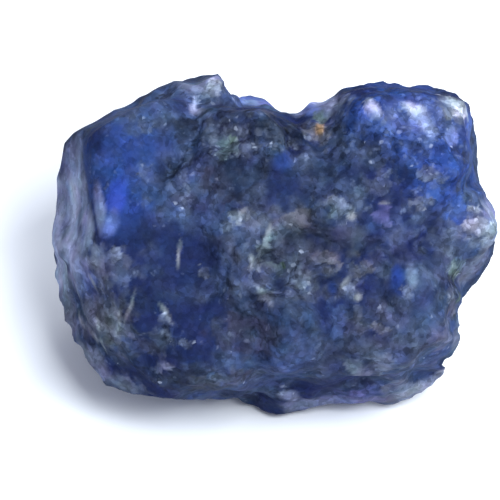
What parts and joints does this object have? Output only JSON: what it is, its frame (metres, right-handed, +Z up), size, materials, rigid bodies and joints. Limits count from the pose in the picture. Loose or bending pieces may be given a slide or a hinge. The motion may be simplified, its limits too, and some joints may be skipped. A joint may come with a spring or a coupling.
{
  "type": "rough sapphire",
  "caption": "Rough blue sapphire: a lumpy, water-worn nugget of corundum, part glassy and part frosted, that rests on a flat parting face.",
  "frame": {"origin": "on the surface the stone rests on, under the middle of its box", "axes": "+X along the stone's length, +Y from its broad leaning face to its back, +Z up; the broad face looks to -Y and up"},
  "size_m": [0.018, 0.0138, 0.0123],
  "materials": {
    "corundum": "deep blue, slightly see-through, glassy on the smooth faces and frosted on the worn lumps"
  },
  "bodies": {
    "root": {"sapphire": "corundum"}
  },
  "joints": []
}
